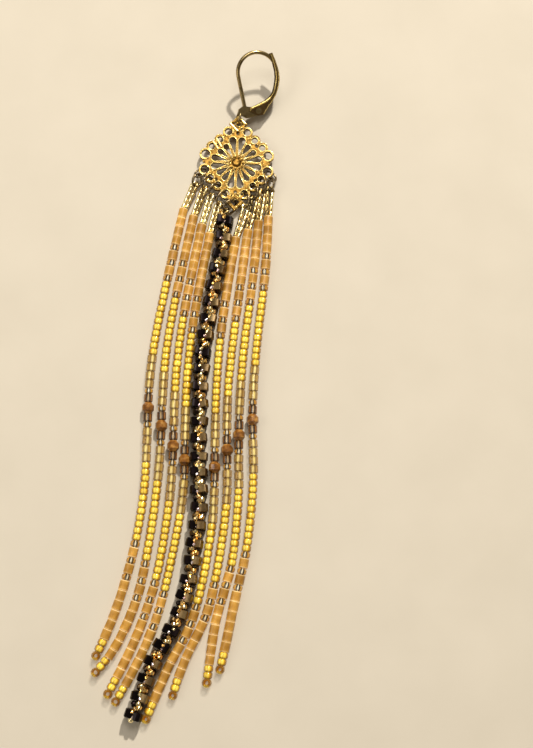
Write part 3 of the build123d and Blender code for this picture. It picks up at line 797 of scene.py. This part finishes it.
def ropeRows(chance):
    def drawn(name):
        return chance.uniform(*rope[name])

    rows = []
    for row in range(rope["rows"]):
        station = rope["firstRow"] + row * rope["rowPitch"] + drawn("rowStray")
        between = station + rope["rowPitch"] / 2
        sway = drawn("sway")
        last = row == rope["rows"] - 1
        for side in (-1, 1):
            # painted shade on the left cubes and painted light on the right ones, with black cubes on both
            # sides in the black rows
            tint = drawn("blackAndShadedTint" if side < 0 or row in rope["blackRows"] else "litBronzeTint")
            lean = side * (rope["lean"] + drawn("leanStray"))
            rows.append(ropeBead(
                "cube", station + side * drawn("cubeStray"), side * rope["halfWidth"] + sway,
                rope["cubeLift"] + drawn("liftStray"), tint, (drawn("tip"), drawn("roll"), lean)))
            # the lower cubes are darkened as painted shade
            rows.append(ropeBead("cube", station + rope["underShift"] * side, side * rope["halfWidth"],
                                 rope["underLift"], drawn("shadedUnderTint")))
            if not last:
                # the narrow row: a dark bead on the left and a warm one on the right
                kind = "seed" if side < 0 else "warm"
                rows.append(ropeBead(
                    kind, between + rope["narrowShift"] * side, side * rope["narrowSide"] + sway,
                    rope["narrowLift"], drawn(kind + "Tint"),
                    (drawn("narrowTurn"), drawn("narrowTurn"), 0)))
                rows.append(ropeBead("seed", between, side * rope["lowSide"], rope["lowLift"],
                                     drawn("lowTint"), (drawn("lowTip"), 0, 0)))
        for spark in range(rope["sparks"] + (row in rope["glintRows"])):
            # every third spark is a lilac one
            kind = "lilac" if spark % 3 == 2 else "spark"
            rows.append(ropeBead(
                kind, station + (spark + rope["sparkFirst"]) * rope["sparkPitch"],
                drawn("sparkSide") + sway, rope["sparkLift"] + drawn("sparkRise"),
                drawn("sparkTint"), (drawn("sparkTurn"), drawn("sparkTurn"), 0)))
        if not last:
            rows.append(ropeBead("core", between, 0, 0, rope["coreTint"]))
    return rows


ropePoints = [place(x, y, rope["height"]) for x, y in ropeRoute]
route = routeCurve("ropeRoute", ropePoints)
ropeLength = lengths(linePoints(route))[-1]
ropePiece = beadsOnRoute("rope_cubes", ropeTree, route, ropeRows(random.Random(rope["seed"])), ropeShapes,
                         ropeFinishes, rope["treeSeed"], rope["turnSpread"], rope["sizeSpread"])
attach(ropePiece, "earring")
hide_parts("rope")
heading = headingVector(ropeHeading)
route = loopRoute("ropeLoopRoute", nodeMiddle("rope_ring") + heading * loops["ringRadius"] * mm, heading,
                  -loops["tilt"], ropePoints[0], (ropePoints[1] - ropePoints[0]).normalized())
makeLoop("rope_loop", ropeLoop, route, "rope")
print("rope made, length mm", round(ropeLength / mm, 1))

# the plate's raised lines, placed from its middle: wires round its openings, granules side by
# side, and worn coils given as place, radius, and first and last angle
filigree = {
    "halfWidth": 8.65, "halfHeight": 11.5, "top": 2.05, "spokes": 16, "spokeWidth": 0.45, "spokeRoot": 1.75,
    "reaches": (0.59, 0.52, 0.52, 0.624), "tipShare": 0.817, "tipInset": 0.35,
    "wire": 0.11, "bar": 0.30, "granule": 0.17, "pitch": 0.33, "seed": 5,
    "twistedSpokes": (0, 1, 3, 8, 9, 11), "twistStart": 1.9, "twistShare": 0.72, "twistLift": 0.05,
    "boss": {"reach": 1.45, "granule": 0.27, "pitch": 0.83, "lift": 0.3, "turn": 330, "steps": 24,
             "seed": 6},
    "leafBars": [((-5.48, 4.9), (-4.29, 3.15)), ((-4.69, 5.61), (-3.5, 3.65))],
    "coils": [(0.1, 9.3, 0.62, 0, 320), (-0.9, 8.1, 0.5, 60, 330), (1.0, 8.0, 0.5, -150, 130),
              (0.2, -8.1, 0.75, 20, 300), (1.3, -7.7, 0.6, -120, 150), (-1.2, -7.6, 0.55, 60, 300)],
}
# loops along the edge: place across and up as shares, hole radius, rim width
plateLoops = {
    "corner": (0.821, 0.165, 0.95, 0.50), "sideLeaf": (0.665, 0.326, 0.70, 0.65),
    "lowLeaf": (0.457, 0.474, 0.70, 0.65), "plain": (0.243, 0.643, 0.80, 0.55),
}
# lines along the rims of the loops and of the openings, with their turns in degrees
rim = {"inner": 0.16, "outer": 0.14, "innerTurn": 345, "innerSteps": 20,
       "leafReach": 110, "plainReach": 120}
petal = {"margin": 0.10, "rootShare": 0.4, "turn": 100, "turnStep": 25}


def platePoint(u, v, lift=0.0):
    x = plateMiddle.x + u * math.cos(plateLean) + v * math.sin(plateLean)
    y = plateMiddle.y - u * math.sin(plateLean) + v * math.cos(plateLean)
    return place(x, y, filigree["top"] + lift)


def petalOutline(index):
    # the teardrop opening between two spokes, drawn a little outside its edge
    quarter = filigree["spokes"] // 4
    step = index % quarter
    if (index // quarter) % 2:
        step = quarter - 1 - step
    reach = filigree["halfWidth"] * filigree["reaches"][step]
    angle = 2 * math.pi * (index + 0.5) / filigree["spokes"]
    radius = (2 * math.pi / filigree["spokes"] * reach - filigree["spokeWidth"]) / 2 + petal["margin"]
    points = [(filigree["spokeRoot"] - petal["margin"] * petal["rootShare"], 0.0)]
    for degrees in range(-petal["turn"], petal["turn"] + 1, petal["turnStep"]):
        turn = math.radians(degrees)
        points.append((reach + radius * math.cos(turn), radius * math.sin(turn)))
    return [platePoint(*turnedBy(angle, x, y)) for x, y in points]


def arc(u, v, radius, start, end, steps=12, lift=0.0):
    turns = [math.radians(start + (end - start) * step / steps) for step in range(steps + 1)]
    return [platePoint(u + radius * math.cos(turn), v + radius * math.sin(turn), lift) for turn in turns]


def wireTree():
    # a round wire along each line
    tree, given = newTree("wireAlongLines", {"Wire radius": "Float", "Finish": "Material"})
    section = nodeResult(tree, "GeometryNodeCurvePrimitiveCircle", {
        "Resolution": 8, "Radius": given["Wire radius"]})
    wire = nodeResult(tree, "GeometryNodeCurveToMesh", {
        "Curve": given["Geometry"], "Profile Curve": section, "Fill Caps": True})
    return closeTree(tree, wire, [given["Finish"]])


def granuleTree(smallest=0.85, largest=1.15):
    # granules set side by side along each line
    tree, given = newTree("granulesAlongLines", {
        "Granule radius": "Float", "Pitch": "Float", "Seed": "Int", "Finish": "Material"})
    spaced = nodeResult(tree, "GeometryNodeResampleCurve", mode="LENGTH", inputs={
        "Curve": given["Geometry"], "Length": given["Pitch"]})
    ball = nodeResult(tree, "GeometryNodeMeshUVSphere", {
        "Segments": 8, "Rings": 5, "Radius": given["Granule radius"]})
    placed = nodeResult(tree, "GeometryNodeInstanceOnPoints", {
        "Points": spaced, "Instance": nodeResult(tree, "GeometryNodeSetShadeSmooth", {"Geometry": ball}),
        "Scale": randomNumber(tree, smallest, largest, given["Seed"])})
    return closeTree(tree, placed, [given["Finish"]])


def goldTrim(name, lines, tree, sizes, seed=None):
    # bright gold wires or granules along lines; the sizes are the tree's inputs in millimetres
    values = {label: size * mm for label, size in sizes.items()}
    values["Finish"] = materials["brightGold"]
    if seed is not None:
        values["Seed"] = seed
    return madeFromTree(name, newCurve(name + "Lines", "POLY", lines), tree, values)


smoothLines, granuleLines = [], []
for index in range(filigree["spokes"]):
    smoothLines.append((petalOutline(index), True))
    if index in filigree["twistedSpokes"]:
        angle = 2 * math.pi * index / filigree["spokes"]
        ends = (filigree["twistStart"], filigree["halfWidth"] * filigree["twistShare"])
        granuleLines.append(([platePoint(r * math.cos(angle), r * math.sin(angle), filigree["twistLift"])
                              for r in ends], False))
barLines = [([platePoint(*start), platePoint(*end)], False) for start, end in filigree["leafBars"]]
granuleLines += [(arc(*coil), False) for coil in filigree["coils"]]
for loopName, (across, up, hole, width) in plateLoops.items():
    for side, end in ((-1, -1), (-1, 1), (1, -1), (1, 1)):
        u, v = side * across * filigree["halfWidth"], end * up * filigree["halfHeight"]
        facing = math.degrees(math.atan2(v, u))
        smoothLines.append((arc(u, v, hole + rim["inner"], 0, rim["innerTurn"], rim["innerSteps"]), True))
        isLeaf = "Leaf" in loopName
        reach = rim["leafReach" if isLeaf else "plainReach"]
        outer = arc(u, v, hole + width - rim["outer"], facing - reach, facing + reach)
        (granuleLines if isLeaf else smoothLines).append((outer, False))
tipReach = filigree["halfHeight"] * (1 - filigree["tipShare"]) - filigree["tipInset"]
for end in (-1, 1):
    v = end * filigree["tipShare"] * filigree["halfHeight"]
    corners = [(0, v + tipReach), (tipReach, v), (0, v - tipReach), (-tipReach, v)]
    for index, corner in enumerate(corners):
        line = [platePoint(*corner), platePoint(*corners[(index + 1) % 4])]
        # two sides of the upper diamond are bars, and all others are granulated
        (barLines if index % 2 == 0 and end > 0 else granuleLines).append((line, False))

wires, granules, boss = wireTree(), granuleTree(), filigree["boss"]
bossLine = [(arc(0, 0, boss["reach"], 0, boss["turn"], boss["steps"], boss["lift"]), False)]
for name, lines, tree, sizes, seed in (
        ("filigree_wires", smoothLines, wires, {"Wire radius": filigree["wire"]}, None),
        ("filigree_bars", barLines, wires, {"Wire radius": filigree["bar"]}, None),
        ("filigree_granules", granuleLines, granules,
         {"Granule radius": filigree["granule"], "Pitch": filigree["pitch"]}, filigree["seed"]),
        ("filigree_boss_ring", bossLine, granules,
         {"Granule radius": boss["granule"], "Pitch": boss["pitch"]}, boss["seed"])):
    piece = goldTrim(name, lines, tree, sizes, seed)
    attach(piece, "earring")
print("filigree wires and granules made")

# bright gold wires along the rolled edges of the lever, as painted highlights, in the ear wire's own plane:
# across, then up from the wire's foot
ear = {"foot": (-4.95, 61.86, 3.07), "riseRight": -0.25, "riseUp": 0.39, "heading": 7.8, "out": 0.86,
       "edges": {
           "inner": [(1.2, -0.35), (1.25, 0.33), (2.75, 1.5), (4.25, 2.8), (5.2, 4.0), (5.6, 5.0),
                     (5.68, 6.2), (5.6, 7.6), (5.45, 8.6), (5.05, 9.85), (4.45, 11.0), (3.8, 12.2),
                     (2.95, 13.35)],
           "outer": [(3.25, 13.55), (4.08, 12.37), (4.9, 11.14), (5.6, 9.9), (6.07, 8.72), (6.25, 7.88),
                     (6.31, 6.2), (6.14, 4.62), (5.57, 2.87), (4.9, 1.33), (4.35, -0.3)],
           "low": [(1.35, 0.35), (2.8, 1.42), (4.3, 2.7), (5.1, 3.7)]},
       "radius": {"inner": 0.13, "outer": 0.1, "low": 0.27}}


def earPoint(across, up, out):
    normal = Vector((-ear["riseRight"], -ear["riseUp"], 1)).normalized()
    heading = math.radians(ear["heading"])
    levelUp = Vector((math.sin(heading), math.cos(heading), 0))
    upward = (levelUp - normal * levelUp.dot(normal)).normalized()
    spot = upward.cross(normal) * across + upward * up + normal * out
    return place(*(Vector(ear["foot"]) + spot))


# painted highlights: bright gold wires laid along the lever's edges
for edge, spots in ear["edges"].items():
    line = [earPoint(across, up, ear["out"]) for across, up in spots]
    sizes = {"Wire radius": ear["radius"][edge]}
    piece = goldTrim("lever_" + edge + "_edge", [(line, False)], wires, sizes)
    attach(piece, "lever")
print("lever edges made")

cadFinishes = {
    "filigree": ("plateGold", "filigree_gold"), "ear_wire": ("antiqueBrass", "antique_brass"),
    "lever": ("leverBrass", "antique_brass"), "lever_rivet": ("antiqueBrass", "antique_brass"),
    "rope_ring": ("darkBronze", "dark_bronze"),
    "link_ring_1": ("darkBronze", "dark_bronze"), "link_ring_8": ("darkBronze", "dark_bronze"),
}
for number in stringRoutes:
    cadFinishes["jump_ring_" + str(number)] = ("darkBronze", "dark_bronze")
    cadFinishes["copper_bead_" + str(number)] = ("copperGlass", "copper_glass")
    cadFinishes["thread_" + str(number)] = ("thread", "thread")
for name, (finish, slotName) in cadFinishes.items():
    mesh = nodes[name].data
    if mesh.materials:
        for index in range(len(mesh.materials)):
            mesh.materials[index] = materials[finish]
    else:
        mesh.materials.append(materials[finish])
print("metal parts finished:", len(cadFinishes))

paper = {"size": 3.0, "colours": [(0.52, 0.465, 0.375), (0.59, 0.53, 0.435)], "grain": 60, "detail": 6.0,
         "shader": {"Roughness": 0.9, "Specular IOR Level": 0.2}}
lights = {
    "window": {"toward": (0.24, 0.71, 0.66), "distance": 1.4, "size": 0.075, "power": 24.0,
               "colour": (1.0, 0.96, 0.885)},
    "skylight": {"toward": (0.05, 0.40, 0.90), "distance": 0.62, "size": 0.30, "power": 1.3,
                 "colour": (1.0, 0.97, 0.93)},
    "wall": {"toward": (-0.72, -0.08, 0.69), "distance": 0.8, "size": 0.45, "power": 1.5,
             "colour": (1.0, 0.96, 0.88)},
}
surroundings = {"colour": (1.0, 0.90, 0.74), "strength": 0.22}
# the camera stands back from its target, which is a place in the drawing
view = {"lens": 71.04, "target": (0, 0, 1.0), "back": (0, -68.19, 320.83), "tilt": 12, "nearest": 0.01}


def makePaper():
    half = paper["size"] / 2
    mesh = bpy.data.meshes.new("paper")
    corners = [(-half, -half, 0), (half, -half, 0), (half, half, 0), (-half, half, 0)]
    mesh.from_pydata(corners, [], [(0, 1, 2, 3)])
    material, tree, shader = blankMaterial("palePaper")
    fibres = ramp(tree, objectNoise(tree, paper), paper["colours"])
    fillInputs(tree, shader, {"Base Color": fibres, **paper["shader"]})
    arrangeNodes(tree)
    mesh.materials.append(material)
    sheet = newObject("paper", mesh)


def makeLight(name, settings):
    data = bpy.data.lights.new(name, "AREA")
    data.shape = "DISK"
    data.size = settings["size"]
    data.energy = settings["power"]
    data.color = settings["colour"]
    lamp = newObject(name, data)
    direction = Vector(settings["toward"]).normalized()
    lamp.location = direction * settings["distance"]
    lamp.rotation_euler = direction.to_track_quat("Z", "Y").to_euler()


def makeWorld():
    world = bpy.data.worlds.new("softRoom")
    world.use_nodes = True
    background = next(node for node in world.node_tree.nodes if node.type == "BACKGROUND")
    fillInputs(world.node_tree, background, {"Color": (*surroundings["colour"], 1),
                                             "Strength": surroundings["strength"]})
    bpy.context.scene.world = world
    bpy.context.scene.view_settings.view_transform = "Standard"


def makeCamera():
    data = bpy.data.cameras.new("photographer")
    data.lens = view["lens"]
    data.clip_start = view["nearest"]
    camera = newObject("photographer", data)
    camera.location = place(*view["target"]) + Vector(view["back"]) * mm
    camera.rotation_euler = (math.radians(view["tilt"]), 0, 0)
    bpy.context.scene.camera = camera


makePaper()
for name, settings in lights.items():
    makeLight(name, settings)
makeWorld()
makeCamera()
for shape in stringShapes + ropeShapes + [loopShape]:
    bpy.data.objects.remove(shape)
bpy.context.view_layer.update()
print("scene ready")
